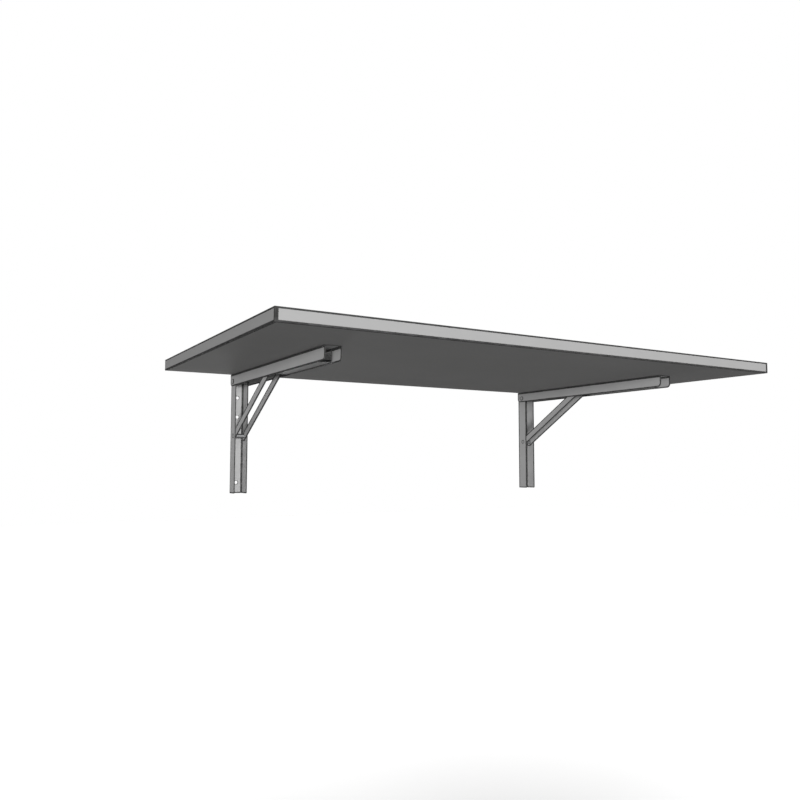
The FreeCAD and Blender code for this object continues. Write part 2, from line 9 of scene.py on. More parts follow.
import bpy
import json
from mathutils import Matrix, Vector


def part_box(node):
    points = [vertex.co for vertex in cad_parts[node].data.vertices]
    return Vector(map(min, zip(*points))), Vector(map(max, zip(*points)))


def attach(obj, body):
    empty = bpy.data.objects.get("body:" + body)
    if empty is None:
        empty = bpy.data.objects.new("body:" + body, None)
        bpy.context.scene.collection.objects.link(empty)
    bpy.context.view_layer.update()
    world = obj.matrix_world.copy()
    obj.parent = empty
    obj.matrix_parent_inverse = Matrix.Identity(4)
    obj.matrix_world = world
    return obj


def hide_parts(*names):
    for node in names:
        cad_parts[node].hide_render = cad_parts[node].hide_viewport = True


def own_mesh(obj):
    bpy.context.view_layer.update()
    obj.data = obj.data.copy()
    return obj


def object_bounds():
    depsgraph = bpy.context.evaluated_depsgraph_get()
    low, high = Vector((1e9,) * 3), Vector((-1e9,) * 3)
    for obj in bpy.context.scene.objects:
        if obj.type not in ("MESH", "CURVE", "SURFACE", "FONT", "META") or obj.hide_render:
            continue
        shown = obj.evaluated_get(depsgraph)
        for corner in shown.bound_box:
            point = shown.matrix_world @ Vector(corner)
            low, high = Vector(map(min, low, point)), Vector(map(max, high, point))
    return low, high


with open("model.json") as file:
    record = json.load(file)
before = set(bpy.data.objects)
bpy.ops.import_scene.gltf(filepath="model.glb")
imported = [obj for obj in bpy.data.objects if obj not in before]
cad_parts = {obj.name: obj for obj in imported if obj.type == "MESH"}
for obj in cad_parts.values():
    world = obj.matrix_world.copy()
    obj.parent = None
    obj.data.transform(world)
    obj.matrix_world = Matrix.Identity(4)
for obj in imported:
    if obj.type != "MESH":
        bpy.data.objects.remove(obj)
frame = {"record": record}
cad_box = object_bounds()

# %% Modules and units
import json
import math

import bmesh
import bpy
from mathutils import Vector

MM = 0.001
TINY = 0.01 * MM
ALONG = 0.9  # a direction with this share of an axis runs along that axis
SMOOTH_BELOW = math.radians(40)  # turned and swept shapes shade smoothly below this angle
scene = bpy.context.scene

# %% [markdown]
# ## Camera
#
# The view is from below the board's edge and a little to its left. The lens, the place and
# the small shift come from the edges of the board and brackets, which fix all of them
# together. A shift moves the picture without turning the camera, so upright edges stay
# upright.

# %% Camera
PICTURE_SIDE = 800
FOCAL_PIXELS = 749.602
SENSOR_MM = 36

bpy.ops.object.camera_add(location=(-0.66423, -1.14517, -0.03914),
                          rotation=(math.radians(94.2137), 0, math.radians(-31.3602)))
camera = bpy.context.object
camera.name = "view_from_below"
camera.data.sensor_fit = "HORIZONTAL"
camera.data.sensor_width = SENSOR_MM
camera.data.lens = FOCAL_PIXELS * SENSOR_MM / PICTURE_SIDE
camera.data.shift_x = -0.01502
camera.data.shift_y = 0.01236
scene.camera = camera
print("lens", round(camera.data.lens, 2), "mm")

# %% [markdown]
# ## Helpers for modelling
#
# Modelling by hand goes in small steps: add a primitive, pick some of its faces or edges,
# apply an operator, and finish with a modifier. The helpers below do one such step each.
# Operators act on everything that is selected, so the first helper leaves one object
# selected and nothing else.


# %% Selecting
def only(piece=None):
    """Leave this object, or nothing, selected in object mode."""
    if bpy.context.object and bpy.context.object.mode != "OBJECT":
        bpy.ops.object.mode_set(mode="OBJECT")
    bpy.ops.object.select_all(action="DESELECT")
    bpy.context.view_layer.objects.active = piece
    if piece:
        piece.select_set(True)


def pick(piece, kind, wanted):
    """In edit mode, select the vertices, edges or faces whose place and direction suit."""
    only(piece)
    bpy.ops.object.mode_set(mode="EDIT")
    bpy.ops.mesh.select_mode(type=kind)
    bpy.ops.mesh.select_all(action="DESELECT")
    mesh = bmesh.from_edit_mesh(piece.data)
    for item in {"VERT": mesh.verts, "EDGE": mesh.edges, "FACE": mesh.faces}[kind]:
        if kind == "VERT":
            place, direction = item.co, item.normal
        elif kind == "EDGE":
            start, end = (vertex.co for vertex in item.verts)
            place, direction = (start + end) / 2, (end - start).normalized()
        else:
            place, direction = item.calc_center_median(), item.normal
        if wanted(place, direction):
            item.select_set(True)
    bmesh.update_edit_mesh(piece.data)


def near(value, target):
    return abs(value - target) < TINY


# %% Primitives
def settle(name):
    """Put the new object's place, turn and size into its mesh, and name it."""
    bpy.ops.object.transform_apply(location=True, rotation=True, scale=True)
    piece = bpy.context.object
    piece.name = piece.data.name = name
    return piece


def block(name, low, high):
    """A box between two corners."""
    only()
    low, high = Vector(low), Vector(high)
    bpy.ops.mesh.primitive_cube_add(size=1, location=(low + high) / 2)
    bpy.context.object.scale = high - low
    return settle(name)


def rod(name, centre, radius, length, turn=(0, math.pi / 2, 0), sides=40):
    """A cylinder, along X unless it is turned otherwise."""
    only()
    bpy.ops.mesh.primitive_cylinder_add(vertices=sides, radius=radius, depth=length,
                                        location=centre, rotation=turn)
    return settle(name)


def turned(name, centre, stations, sides=48, hollow=False):
    """A lathe-turned shape along X: each station is (distance from the centre, radius)."""
    only()
    start, radius = stations[0]
    centre = Vector(centre)
    bpy.ops.mesh.primitive_circle_add(vertices=sides, radius=radius,
                                      fill_type="NOTHING" if hollow else "NGON",
                                      location=centre + Vector((start, 0, 0)),
                                      rotation=(0, math.pi / 2, 0))
    piece = settle(name)
    bpy.ops.object.mode_set(mode="EDIT")
    bpy.ops.mesh.select_mode(type="EDGE")
    bpy.ops.mesh.select_all(action="SELECT")
    for (before, small), (after, large) in zip(stations, stations[1:]):
        bpy.ops.mesh.extrude_region_move(TRANSFORM_OT_translate={"value": (after - before, 0, 0)})
        grow = large / small
        bpy.ops.transform.resize(value=(1, grow, grow),
                                 center_override=centre + Vector((after, 0, 0)))
    if hollow:
        bpy.ops.mesh.select_all(action="DESELECT")
        bpy.ops.mesh.select_non_manifold()
        bpy.ops.mesh.bridge_edge_loops()
    bpy.ops.mesh.select_all(action="SELECT")
    bpy.ops.mesh.normals_make_consistent(inside=False)
    bpy.ops.object.mode_set(mode="OBJECT")
    return piece


# %% Modifiers
def modify(piece, kind, **settings):
    """Add a modifier and apply it."""
    only(piece)
    modifier = piece.modifiers.new(kind, kind)
    for setting, value in settings.items():
        setattr(modifier, setting, value)
    bpy.ops.object.modifier_apply(modifier=modifier.name)


def carve(piece, *tools, how="DIFFERENCE"):
    """Cut other objects out of a piece, or weld them on, and throw the tools away."""
    for tool in tools:
        modify(piece, "BOOLEAN", object=tool, operation=how, solver="EXACT")
        bpy.data.objects.remove(tool)


def soften(piece, width, segments=2, angle=38):
    """Break the sharp edges, and keep the flat faces flat in the shading."""
    modify(piece, "BEVEL", width=width, segments=segments, limit_method="ANGLE",
           angle_limit=math.radians(angle))
    only(piece)
    bpy.ops.object.shade_smooth_by_angle(angle=math.radians(angle))
    modify(piece, "WEIGHTED_NORMAL", keep_sharp=True, weight=80)


# %% Marks for the painted edge shade
SHADED_EDGE_WIDTH = 1.8 * MM  # how far the painted edge shade reaches into a flat face
FLAT = 0.999  # share of an axis in a flat face's normal


def mark(piece, values):
    """Store a number on each face, which the edge mask reads for painted shade."""
    attribute = piece.data.attributes.new("shaded_edge", "FLOAT", "FACE")
    attribute.data.foreach_set("value", [float(value) for value in values])


def flat(normal):
    """Whether a face looks straight along an axis."""
    return max(abs(side) for side in normal) > FLAT


def mark_all_but(piece, spared=None):
    """Inset the picked faces, and mark everything outside the insets as edge, for painted shade."""
    bpy.ops.mesh.inset(thickness=SHADED_EDGE_WIDTH, use_individual=True)
    bpy.ops.object.mode_set(mode="OBJECT")
    mark(piece, [not (face.select or (spared and spared(face))) for face in piece.data.polygons])


# %% [markdown]
# ## Helpers for materials
#
# A material is a tree of nodes. Writing one out node by node is long, so one helper adds a
# node, sets its options and joins its inputs. Effects that several finishes share are
# node groups: the edge mask for painted shade, tone drift, fine relief and dust. Each is
# built once, and every material gives it its own numbers.


# %% Node helpers
def add_node(tree, kind, inputs=None, **options):
    """Add a node. An input is a number, a colour or another node's output."""
    made = tree.nodes.new(kind)
    for option, value in options.items():
        setattr(made, option, value)
    for key, value in (inputs or {}).items():
        if isinstance(value, bpy.types.NodeSocket):
            tree.links.new(value, made.inputs[key])
        else:
            made.inputs[key].default_value = value
    return made


def math_node(tree, operation, *values, clamp=False):
    return add_node(tree, "ShaderNodeMath", dict(enumerate(values)), operation=operation,
                    use_clamp=clamp).outputs[0]


def remap(tree, value, low, high, to_low=0.0, to_high=1.0):
    return add_node(tree, "ShaderNodeMapRange", {
        "Value": value, "From Min": low, "From Max": high, "To Min": to_low,
        "To Max": to_high}).outputs["Result"]


def mix_colour(tree, factor, first, second):
    return add_node(tree, "ShaderNodeMix", {0: factor, 6: first, 7: second},
                    data_type="RGBA").outputs[2]


def new_group(name, inputs, outputs):
    """An empty node group with named inputs and outputs."""
    group = bpy.data.node_groups.new(name, "ShaderNodeTree")
    for label, value in inputs.items():
        socket = group.interface.new_socket(label, in_out="INPUT", socket_type="NodeSocketFloat")
        socket.default_value = value
    for label in outputs:
        group.interface.new_socket(label, in_out="OUTPUT", socket_type="NodeSocketFloat")
    given = group.nodes.new("NodeGroupInput")
    result = group.nodes.new("NodeGroupOutput")
    return group, given.outputs, result.inputs


def use_group(tree, group, **values):
    """Place a group in a material with its own values."""
    placed = tree.nodes.new("ShaderNodeGroup")
    placed.node_tree = group
    for label, value in values.items():
        placed.inputs[label.replace("_", " ")].default_value = value
    return placed.outputs


# %% [markdown]
# ### Darkened edges: painted shade and wear
#
# The Bevel node gives the normal that a rounded edge of a chosen width would have. Where it
# differs from the true normal there is an edge. That fails on thin sheet, where both sides
# fall inside the width, so faces can also be marked as edge. The materials paint shade along
# this band as a dark line, and some also use it for chips and wear. Noise breaks the band up.

# %% Group: edge band
SAME_NORMAL, EDGE_NORMAL = 0.9995, 0.975  # cosine where the mask starts, and where it is full
edge_group, given, result = new_group("edge_band", {"Width": 0.8 * MM, "Breakup": 180.0},
                                      ["Mask"])
rounded = add_node(edge_group, "ShaderNodeBevel", {"Radius": given["Width"]}, samples=6)
plain = add_node(edge_group, "ShaderNodeNewGeometry")
same = add_node(edge_group, "ShaderNodeVectorMath",
                {0: rounded.outputs[0], 1: plain.outputs["Normal"]}, operation="DOT_PRODUCT")
band = remap(edge_group, same.outputs["Value"], SAME_NORMAL, EDGE_NORMAL)
place = add_node(edge_group, "ShaderNodeTexCoord").outputs["Object"]
patches = add_node(edge_group, "ShaderNodeTexNoise",
                   {"Vector": place, "Scale": given["Breakup"], "Detail": 3.0})
uneven = remap(edge_group, patches.outputs["Fac"], 0.3, 0.62, 0.9, 1.0)
# faces marked as edge get the full mask, which the materials use for painted shade
marked = add_node(edge_group, "ShaderNodeAttribute", attribute_name="shaded_edge").outputs["Fac"]
band = math_node(edge_group, "MAXIMUM", band, marked)
edge_group.links.new(math_node(edge_group, "MULTIPLY", band, uneven, clamp=True), result["Mask"])
print("edge_band", len(edge_group.nodes), "nodes")

# %% [markdown]
# ### Tone drift and fine relief
#
# No coat has one exact colour or one exact gloss. A slow noise drifts the tone over
# centimetres, and a fast noise gives the relief that the light catches: orange peel on
# powder coat, pores on a faced board, spark texture on moulded plastic.

# %% Group: tone drift
drift_group, given, result = new_group("tone_drift", {"Scale": 12.0, "Low": 0.95, "High": 1.05},
                                       ["Value"])
place = add_node(drift_group, "ShaderNodeTexCoord").outputs["Object"]
cloud = add_node(drift_group, "ShaderNodeTexNoise",
                 {"Vector": place, "Scale": given["Scale"], "Detail": 5.0, "Roughness": 0.6})
spread = add_node(drift_group, "ShaderNodeMapRange", {
    "Value": cloud.outputs["Fac"], "From Min": 0.3, "From Max": 0.7, "To Min": given["Low"],
    "To Max": given["High"]})
drift_group.links.new(spread.outputs["Result"], result["Value"])
print("tone_drift", len(drift_group.nodes), "nodes")

# %% Group: fine relief
relief_group, given, result = new_group("fine_relief", {"Scale": 700.0, "Grit": 0.3},
                                        ["Height"])
place = add_node(relief_group, "ShaderNodeTexCoord").outputs["Object"]
peel = add_node(relief_group, "ShaderNodeTexNoise",
                {"Vector": place, "Scale": given["Scale"], "Detail": 1.5})
grains = add_node(relief_group, "ShaderNodeTexVoronoi", {
    "Vector": place, "Scale": math_node(relief_group, "MULTIPLY", given["Scale"], 2.3)})
both = add_node(relief_group, "ShaderNodeMix", {
    0: given["Grit"], 2: peel.outputs["Fac"], 3: grains.outputs["Distance"]})
relief_group.links.new(both.outputs[0], result["Height"])
print("fine_relief", len(relief_group.nodes), "nodes")

# %% [markdown]
# ### Settled dust
#
# Dust lies on what faces up when the table is open. The object normal is used, so the dust
# stays on the same faces when the board hangs down.

# %% Group: settled dust
dust_group, given, result = new_group("settled_dust", {"Amount": 0.3}, ["Mask"])
coordinates = add_node(dust_group, "ShaderNodeTexCoord").outputs
upward = add_node(dust_group, "ShaderNodeSeparateXYZ", {0: coordinates["Normal"]}).outputs["Z"]
flecks = add_node(dust_group, "ShaderNodeTexNoise",
                  {"Vector": coordinates["Object"], "Scale": 45.0, "Detail": 7.0})
lying = math_node(dust_group, "MULTIPLY", remap(dust_group, upward, 0.4, 0.95),
                  remap(dust_group, flecks.outputs["Fac"], 0.42, 0.7))
dust_group.links.new(math_node(dust_group, "MULTIPLY", lying, given["Amount"], clamp=True),
                     result["Mask"])
print("settled_dust", len(dust_group.nodes), "nodes")


# %% Starting a material
def new_material(name, metallic=0.0, specular=0.5):
    """A material with one Principled BSDF, and its tree."""
    material = bpy.data.materials.new(name)
    material.use_nodes = True
    tree = material.node_tree
    shader = tree.nodes["Principled BSDF"]
    shader.inputs["Metallic"].default_value = metallic
    shader.inputs["Specular IOR Level"].default_value = specular
    return material, tree, shader


EDGE_SHADE_AMOUNT, EDGE_SHADE_GREY = 0.95, 0.03  # how much painted shade darkens an edge, and towards what grey


def grey(level, warm=0.0):
    """A grey, which warm tips from blue to red."""
    return (level * (1 + warm), level, level * (1 - warm), 1.0)


def tinted(tree, colour, drift):
    """A colour whose brightness follows the drift."""
    scaled = add_node(tree, "ShaderNodeVectorMath", {0: colour[:3], "Scale": drift},
                      operation="SCALE")
    return scaled.outputs[0]


def relief(tree, shader, height, depth, strength=1.0):
    """Feed a height to the shader's normal. Depth is in metres."""
    bump = add_node(tree, "ShaderNodeBump", {"Height": height, "Distance": depth,
                                             "Strength": strength})
    tree.links.new(bump.outputs[0], shader.inputs["Normal"])


# %% [markdown]
# ### Powder coat
#
# Painted shade darkens its edges and bends into dark lines, and a few chips there show bare steel.
# It runs thin and gathers grime along cut edges, and a few chips there show bare steel.

# %% Powder coat
powder_coat, tree, shader = new_material("grey_powder_coat", specular=0.2)
drift = use_group(tree, drift_group, Scale=22.0, Low=0.955, High=1.04)["Value"]
edge = use_group(tree, edge_group, Width=1.9 * MM, Breakup=240.0)["Mask"]
dust = use_group(tree, dust_group, Amount=0.30)["Mask"]
peel = use_group(tree, relief_group, Scale=620.0, Grit=0.22)["Height"]
place = add_node(tree, "ShaderNodeTexCoord").outputs["Object"]
spots = add_node(tree, "ShaderNodeTexNoise", {"Vector": place, "Scale": 420.0, "Detail": 2.0})
chip = math_node(tree, "MULTIPLY", remap(tree, spots.outputs["Fac"], 0.69, 0.72),
                 remap(tree, edge, 0.35, 0.6), clamp=True)
# painted shade: edges, bends and marked rims darken towards a near black grey
colour = mix_colour(tree, math_node(tree, "MULTIPLY", edge, EDGE_SHADE_AMOUNT),
                    tinted(tree, grey(0.53), drift), grey(EDGE_SHADE_GREY))
colour = mix_colour(tree, dust, colour, grey(0.60, 0.03))
tree.links.new(mix_colour(tree, chip, colour, grey(0.5)), shader.inputs["Base Color"])
tree.links.new(chip, shader.inputs["Metallic"])
gloss = remap(tree, spots.outputs["Fac"], 0.3, 0.7, 0.50, 0.60)
dull = math_node(tree, "MULTIPLY", math_node(tree, "MAXIMUM", dust, edge), 0.35)
tree.links.new(math_node(tree, "ADD", gloss, dull, clamp=True), shader.inputs["Roughness"])
relief(tree, shader, peel, 0.05 * MM, 0.55)
print(powder_coat.name, len(tree.nodes), "nodes")

# %% [markdown]
# ### Faced board
#
# The board is chipboard with a light grey melamine face on both sides. The top has a satin
# gloss, patchy where it has been wiped, which is a coat whose weight varies. The underside
# is the same sheet without that gloss, so it stays dull even at a grazing look. Both have a
# fine pore.

# %% Board facing
facing, tree, shader = new_material("grey_melamine_facing", specular=0.02)
shader.inputs["Coat Roughness"].default_value = 0.55
drift = use_group(tree, drift_group, Scale=7.0, Low=0.97, High=1.025)["Value"]
mottle = use_group(tree, drift_group, Scale=420.0, Low=0.965, High=1.03)["Value"]
edge = use_group(tree, edge_group, Width=2.4 * MM, Breakup=90.0)["Mask"]
dust = use_group(tree, dust_group, Amount=0.10)["Mask"]
pore = use_group(tree, relief_group, Scale=1100.0, Grit=0.55)["Height"]
wiped = use_group(tree, drift_group, Scale=16.0, Low=0.15, High=0.35)["Value"]
upward = add_node(tree, "ShaderNodeSeparateXYZ", {
    0: add_node(tree, "ShaderNodeTexCoord").outputs["Normal"]}).outputs["Z"]
top_side = remap(tree, upward, 0.2, 0.6)
# painted shade: the board's edges and seams darken towards a near black grey
colour = mix_colour(tree, math_node(tree, "MULTIPLY", edge, EDGE_SHADE_AMOUNT),
                    tinted(tree, grey(0.415, 0.004), math_node(tree, "MULTIPLY", drift, mottle)),
                    grey(EDGE_SHADE_GREY))
tree.links.new(mix_colour(tree, dust, colour, grey(0.55, 0.02)), shader.inputs["Base Color"])
tree.links.new(math_node(tree, "MULTIPLY", top_side, wiped), shader.inputs["Coat Weight"])
tree.links.new(math_node(tree, "SUBTRACT", 0.95, math_node(tree, "MULTIPLY", wiped, 0.4)),
               shader.inputs["Roughness"])
relief(tree, shader, pore, 0.03 * MM, 0.5)
print(facing.name, len(tree.nodes), "nodes")

# %% [markdown]
# ### Edge band
#
# A 2 mm plastic band covers the chipboard on all four sides. The trimming cutter leaves
# faint marks along it, so its relief is stretched along the strip. Strips run along X or
# along Y, so the stretch is an argument.


# %% Edge band material
def edge_band_material(name, squeeze):
    """Edge band whose cutter marks run along one axis, the one that squeeze makes small."""
    material, tree, shader = new_material(name, specular=0.04)
    drift = use_group(tree, drift_group, Scale=9.0, Low=0.97, High=1.03)["Value"]
    edge = use_group(tree, edge_group, Width=2.4 * MM, Breakup=90.0)["Mask"]
    pore = use_group(tree, relief_group, Scale=900.0, Grit=0.5)["Height"]
    place = add_node(tree, "ShaderNodeTexCoord").outputs["Object"]
    stretched = add_node(tree, "ShaderNodeMapping", {"Vector": place, "Scale": squeeze})
    marks = add_node(tree, "ShaderNodeTexNoise", {
        "Vector": stretched.outputs[0], "Scale": 1500.0, "Detail": 2.0}).outputs["Fac"]
    # painted shade: the band's arrises darken towards a near black grey
    colour = mix_colour(tree, math_node(tree, "MULTIPLY", edge, EDGE_SHADE_AMOUNT),
                        tinted(tree, grey(0.40, 0.002), drift), grey(EDGE_SHADE_GREY))
    tree.links.new(colour, shader.inputs["Base Color"])
    satin = remap(tree, marks, 0.3, 0.7, 0.64, 0.76)
    tree.links.new(math_node(tree, "ADD", satin, math_node(tree, "MULTIPLY", edge, 0.2)),
                   shader.inputs["Roughness"])
    height = math_node(tree, "ADD", math_node(tree, "MULTIPLY", marks, 0.6),
                       math_node(tree, "MULTIPLY", pore, 0.4))
    relief(tree, shader, height, 0.03 * MM, 0.45)
    print(material.name, len(tree.nodes), "nodes")
    return material


band_along_x = edge_band_material("edge_band_along_x", (0.03, 1, 1))
band_along_y = edge_band_material("edge_band_along_y", (1, 0.03, 1))

# %% [markdown]
# ### Zinc and spring steel
#
# Pins, spacers and screws are zinc plated: a metal with a soft, cloudy gloss, and painted
# shade darkens its rims. The latch spring is oiled wire, darker and sharper in its gloss.


# %% Metals
def bright_metal(name, level, low, high, rim):
    """Plated or oiled steel: its gloss clouds over, and painted shade darkens its rims."""
    material, tree, shader = new_material(name, metallic=1.0)
    cloud = use_group(tree, drift_group, Scale=260.0, Low=low, High=high)["Value"]
    drift = use_group(tree, drift_group, Scale=90.0, Low=0.88, High=1.08)["Value"]
    edge = use_group(tree, edge_group, Width=0.9 * MM, Breakup=400.0)["Mask"]
    scratch = use_group(tree, relief_group, Scale=1600.0, Grit=0.35)["Height"]
    # painted shade: rims darken towards grey 0.10, as far as rim says
    colour = mix_colour(tree, math_node(tree, "MULTIPLY", edge, rim),
                        tinted(tree, level, drift), grey(0.10))
    tree.links.new(colour, shader.inputs["Base Color"])
    tree.links.new(cloud, shader.inputs["Roughness"])
    relief(tree, shader, scratch, 0.02 * MM, 0.5)
    print(material.name, len(tree.nodes), "nodes")
    return material


zinc = bright_metal("zinc_plate", (0.42, 0.425, 0.43, 1), 0.42, 0.58, 0.85)
wire_steel = bright_metal("oiled_spring_wire", (0.34, 0.34, 0.345, 1), 0.22, 0.38, 0.3)

# %% [markdown]
# ### Moulded latch
#
# The release latch is black moulded plastic. The mould's spark-eroded face leaves a fine
# matt grain, and thumbs polish its high spots.

# %% Latch plastic
black_plastic, tree, shader = new_material("black_moulded_plastic", specular=0.4)
drift = use_group(tree, drift_group, Scale=120.0, Low=0.85, High=1.15)["Value"]
grain = use_group(tree, relief_group, Scale=1900.0, Grit=0.6)["Height"]
edge = use_group(tree, edge_group, Width=0.5 * MM, Breakup=300.0)["Mask"]
colour = mix_colour(tree, math_node(tree, "MULTIPLY", edge, 0.5),
                    tinted(tree, grey(0.035), drift), grey(0.05))
tree.links.new(colour, shader.inputs["Base Color"])
tree.links.new(math_node(tree, "SUBTRACT", 0.62, math_node(tree, "MULTIPLY", edge, 0.2)),
               shader.inputs["Roughness"])
relief(tree, shader, grain, 0.04 * MM, 0.8)
print(black_plastic.name, len(tree.nodes), "nodes")


# %% [markdown]
# ## Handing a piece over
#
# A finished piece rides on a CAD body and stands for a CAD node. Each bracket piece is
# modelled once in the middle plane, x = 0, and copied to its place on each side, which the
# CAD node's box gives.


# %% Hand over and copy
def hand_over(piece, node, body, material):
    """Dress a piece and put it on its body in place of a CAD node."""
    piece.data.materials.clear()
    piece.data.materials.append(material)
    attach(piece, body)
    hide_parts(node)
    size = [round(side / MM, 1) for side in piece.dimensions]
    print(f"{piece.name}: {size} mm, {len(piece.data.polygons)} faces")


def centre_of(node):
    """The middle of a node's box."""
    low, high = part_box(node)
    return (low + high) / 2


def centred_box(node):
    """A node's corners, moved sideways so that its middle is at x = 0."""
    low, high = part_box(node)
    shift = Vector((centre_of(node).x, 0, 0))
    return low - shift, high - shift


def copies(master, places, material):
    """Copy a master to each node in places: node, name of the copy, body."""
    for node, name, body in places:
        only(master)
        bpy.ops.object.duplicate(linked=False)
        piece = bpy.context.object
        piece.location.x += centre_of(node).x
        settle(name)
        hand_over(piece, node, body, material)
    bpy.data.objects.remove(master)


def both_sides(node, name, body):
    """The places of a piece that each bracket has once."""
    return [(f"{node}_{side}", f"{name}_{side}", body.format(side)) for side in ("left", "right")]


# %% [markdown]
# ## Board
#
# The core is a plain slab, because the bands cover its edges. Its arrises are broken by a
# hair, which with the bands' own leaves the fine seam that every banded edge shows.

# %% Board core
SEAM = 0.16 * MM
low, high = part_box("tabletop_core")
board = block("faced_board", low, high)
soften(board, SEAM)
hand_over(board, "tabletop_core", "leaf", facing)

# %% [markdown]
# ## Edge bands
#
# Front and rear strips run between the side strips. The outer arrises are rounded with a
# 0.4 mm trimming cutter, and the side strips turn the corners, so their end edges are
# rounded as well. Bevelling only the edges on the outer faces leaves the glued edges crisp.


# %% Edge bands
ROUNDING = 0.4 * MM


def band_strip(name, node, outward, material):
    """A strip of edge band, rounded along the faces that look outward."""
    low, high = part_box(node)
    strip = block(name, low, high)
    faces = [(low, -1), (high, 1)]

    def on_outer_face(place, direction):
        for axis in outward:
            for corner, sign in faces:
                if outward[axis] in (sign, 0) and near(place[axis], corner[axis]):
                    return True
        return False

    pick(strip, "EDGE", on_outer_face)
    bpy.ops.mesh.bevel(offset=ROUNDING, segments=5, affect="EDGES")
    pick(strip, "FACE", lambda place, normal: flat(normal) and any(
        abs(normal[axis]) > ALONG and outward[axis] * normal[axis] > ALONG for axis in outward))
    mark_all_but(strip, lambda face: flat(face.normal) and not on_outer_face(face.center, None))
    soften(strip, SEAM / 2, segments=1, angle=60)
    hand_over(strip, node, "leaf", material)


band_strip("front_band", "edge_band_front", {1: -1}, band_along_x)
band_strip("rear_band", "edge_band_rear", {1: 1}, band_along_x)
band_strip("left_band", "edge_band_left", {0: -1, 1: 0}, band_along_y)
band_strip("right_band", "edge_band_right", {0: 1, 1: 0}, band_along_y)

# %% [markdown]
# ## Sheet steel channels
#
# Leg, arm and slide are all a U of sheet steel. The way to make one is the way a press
# does: start from the outside block, round the plates' corners, round the two long bends,
# open the block by deleting the faces that the metal doesn't have, and let Solidify grow
# the sheet inwards. The bend's inner radius then comes out right by itself. A face that is
# only partly open is split by Bisect first, and a limited dissolve joins the flat faces
# again. Solidify gives its rim a second material number, which keeps it out of the insets:
# flat faces are inset, and all that stays outside, rims and bends included, is marked for
# painted shade, a dark line drawn along the edges.


# %% Folding a channel
SEGMENTS_PER_MM = 1.6


def everything(place, direction):
    """A test for pick that suits every item."""
    return True


def folded(name, low, high, corners, bends, is_open, thickness, splits=()):
    """A folded U. Corners and bends are lists of (radius, edge test), splits are Y places."""
    piece = block(name, low, high)
    for split in splits:
        pick(piece, "FACE", everything)
        bpy.ops.mesh.bisect(plane_co=(0, split, 0), plane_no=(0, 1, 0))
    for radius, wanted in corners + bends:
        pick(piece, "EDGE", wanted)
        segments = max(3, round(radius / MM * SEGMENTS_PER_MM))
        bpy.ops.mesh.bevel(offset=radius, segments=segments, affect="EDGES")
    pick(piece, "FACE", is_open)
    bpy.ops.mesh.delete(type="FACE")
    bpy.ops.object.mode_set(mode="OBJECT")
    for _ in ("sheet", "rim"):
        piece.data.materials.append(powder_coat)
    modify(piece, "SOLIDIFY", thickness=thickness, offset=-1, use_even_offset=True,
           material_offset_rim=1)
    pick(piece, "FACE", everything)
    bpy.ops.mesh.dissolve_limited(angle_limit=math.radians(1), delimit={"MATERIAL"})
    pick(piece, "FACE", lambda place, normal: flat(normal))
    piece.active_material_index = 1
    bpy.ops.object.material_slot_deselect()
    mark_all_but(piece)
    piece.data.polygons.foreach_set("material_index", [0] * len(piece.data.polygons))
    return piece


SHEET = 1.0 * MM
BEND = 1.5 * MM
SOFT_EDGE = 0.16 * MM

# %% [markdown]
# ### Leg
#
# The leg stands on the wall, open to the room. Three screw holes go through its web. Both
# flanges carry the arm's pivot at the top and the strut's pivot lower down, where the holes
# are countersunk for flush rivet heads. One turned tool cuts both countersinks and the hole
# between them: cutting a cone into a finished hole would leave slivers where they meet. The
# flange is rounded about the arm's pivot.

# %% Leg
low, high = centred_box("wall_channel_left")
arm_pivot = centre_of("arm_pivot_rivet_left")
strut_pivot = centre_of("strut_pivot_rivet_left")
CROWN = high.z - arm_pivot.z
TOE = 2 * MM
leg = folded(
    "leg", low, high,
    [(CROWN, lambda place, way: abs(way.x) > ALONG and near(place.y, low.y) and near(place.z, high.z)),
     (TOE, lambda place, way: abs(way.x) > ALONG and near(place.y, low.y) and near(place.z, low.z))],
    [(BEND, lambda place, way: abs(way.z) > ALONG and near(place.y, high.y))],
    lambda place, normal: normal.y < -0.01 or abs(normal.z) > 0.01, SHEET)
print("leg faces after folding", len(leg.data.polygons))

# %% Leg holes
HOLE = 5 * MM
PIVOT_HOLE = 2.55 * MM
SINK_RADIUS, SINK_DEPTH = 3.75 * MM, 0.8 * MM
mounts = {mount["name"]: mount for mount in frame["record"]["mounts"]}
spread = mounts["wall_screw_holes"]["dims"]["spacing_y_mm"] * MM / 2
heights = (spread, mounts["wall_screw_holes_middle"]["pos_m"][2], -spread)
upright = (math.pi / 2, 0, 0)
carve(leg, *[rod("drill", (0, 0, height), HOLE / 2, 4 * SHEET, upright) for height in heights])
OVERRUN = 0.2 * MM
mouth = SINK_RADIUS + OVERRUN * (SINK_RADIUS - PIVOT_HOLE) / SINK_DEPTH
carve(leg,
      rod("drill", (0, arm_pivot.y, arm_pivot.z), PIVOT_HOLE, 3 * high.x),
      turned("countersink", (0, strut_pivot.y, strut_pivot.z), [
          (-high.x - OVERRUN, mouth), (-high.x + SINK_DEPTH, PIVOT_HOLE),
          (high.x - SINK_DEPTH, PIVOT_HOLE), (high.x + OVERRUN, mouth)], sides=40))
soften(leg, SOFT_EDGE)
copies(leg, both_sides("wall_channel", "leg", "root"), powder_coat)

# %% [markdown]
# ### Arm
#
# The arm is a U with its web up, screwed to the board. Its plates have large rounded lower
# corners. Inturned lips along the front half carry the slide. The web has four screw holes
# and the window that the latch's tooth stands in.

